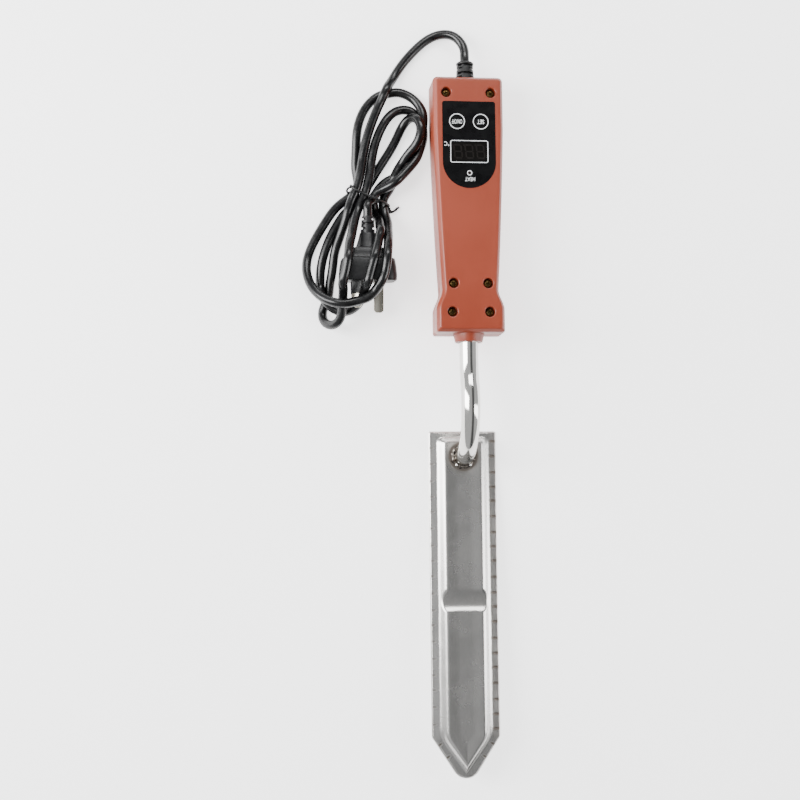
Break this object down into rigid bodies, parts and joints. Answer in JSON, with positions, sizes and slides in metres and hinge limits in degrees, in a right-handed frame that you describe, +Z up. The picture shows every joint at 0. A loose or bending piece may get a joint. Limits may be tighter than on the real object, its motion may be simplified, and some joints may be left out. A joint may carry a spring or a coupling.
{
  "type": "electric uncapping knife",
  "caption": "Heated uncapping knife: flat double-edged steel blade, bent tube neck, split handle with a key and display panel, and a mains cord folded into a tied hank with its plug.",
  "frame": {"origin": "on the table, at the middle of the knife's footprint without its cord and plug", "axes": "+Y from the blade towards the handle and the cord, +X to the right seen from above with the handle away from the viewer, +Z up"},
  "size_m": [0.1275, 0.4833, 0.0449],
  "materials": {
    "blade_steel": "satin rolled stainless sheet",
    "weld_metal": "heat-tinted weld bead",
    "tube_steel": "polished stainless tube",
    "mica": "pressed mica sheet",
    "resistance_alloy": "dull resistance ribbon",
    "brass_fitting": "bright brass",
    "ceramic_fibre": "white felted fibre",
    "sensor_resin": "amber glassy bead",
    "red_insulation": "silicone insulation",
    "white_insulation": "silicone insulation",
    "pale_insulation": "thin woven sleeve",
    "plated_steel": "zinc plated",
    "shell_plastic": "fine satin texture",
    "screw_brass": "dull brass plating",
    "panel_black": "printed satin film",
    "grey_plastic": "moulded",
    "window": "smoked clear film",
    "red_lens": "diffused red resin",
    "circuit_board": "green solder mask",
    "black_plastic": "moulded",
    "terminal_green": "moulded",
    "aluminium_sink": "extruded",
    "capacitor_yellow": "boxed film capacitor",
    "capacitor_blue": "sleeved can",
    "fuse_glass": "glass tube fuse",
    "relief_rubber": "semi-gloss flexible sleeve",
    "cord_pvc": "glossy flexible jacket",
    "tie_black": "coated wire",
    "brown_insulation": "core insulation",
    "blue_insulation": "core insulation",
    "green_yellow_insulation": "core insulation",
    "plug_pvc": "moulded, satin",
    "pin_metal": "nickel-plated brass",
    "sleeve_plastic": "moulded sleeve"
  },
  "bodies": {
    "knife": {"blade_plate": "blade_steel", "channel_cover": "blade_steel", "mica_lower": "mica", "heating_ribbon": "resistance_alloy", "mica_upper": "mica", "heater_eyelets": "brass_fitting", "insulation_front": "ceramic_fibre", "insulation_rear": "ceramic_fibre", "temperature_sensor": "sensor_resin", "neck_tube": "tube_steel", "neck_weld": "weld_metal", "heater_lead_live": "red_insulation", "heater_lead_neutral": "white_insulation", "sensor_lead": "pale_insulation", "tube_anchor_plate": "plated_steel", "earth_clip": "brass_fitting", "front_shell": "shell_plastic", "back_shell": "shell_plastic", "shell_screws": "screw_brass", "panel_overlay": "panel_black", "tact_switches": "grey_plastic", "display_lens": "window", "display_module": "grey_plastic", "heat_lamp": "red_lens", "display_board": "circuit_board", "display_board_screws": "plated_steel", "power_board": "circuit_board", "power_board_screws": "plated_steel", "board_link": "black_plastic", "heater_terminal": "terminal_green", "mains_terminal": "terminal_green", "triac": "black_plastic", "heat_sink": "aluminium_sink", "film_capacitor": "capacitor_yellow", "electrolytic_capacitor": "capacitor_blue", "fuse": "fuse_glass", "strain_relief": "relief_rubber", "cord_jacket_inside": "cord_pvc", "mains_core_live": "brown_insulation", "mains_core_neutral": "blue_insulation", "mains_core_earth": "green_yellow_insulation", "cord_clamp_bar": "black_plastic", "cord_clamp_screws": "plated_steel", "cord": "cord_pvc", "cord_hank": "cord_pvc", "cord_tie": "tie_black", "plug_body": "plug_pvc", "plug_tail": "plug_pvc", "plug_pin_live": "pin_metal", "plug_pin_neutral": "pin_metal", "plug_pin_earth": "pin_metal", "plug_pin_sleeves": "sleeve_plastic"},
    "on_off_button": {"on_off_key": "panel_black", "on_off_plunger": "grey_plastic"},
    "set_button": {"set_key": "panel_black", "set_plunger": "grey_plastic"}
  },
  "joints": [
    {"name": "on_off_press", "type": "slide", "parent": "knife", "child": "on_off_button", "axis": [0, -0.096, -0.9954], "range_m": [0, 0.0003], "stiffness_N_per_m": 4000},
    {"name": "set_press", "type": "slide", "parent": "knife", "child": "set_button", "axis": [0, -0.096, -0.9954], "range_m": [0, 0.0003], "stiffness_N_per_m": 4000}
  ]
}
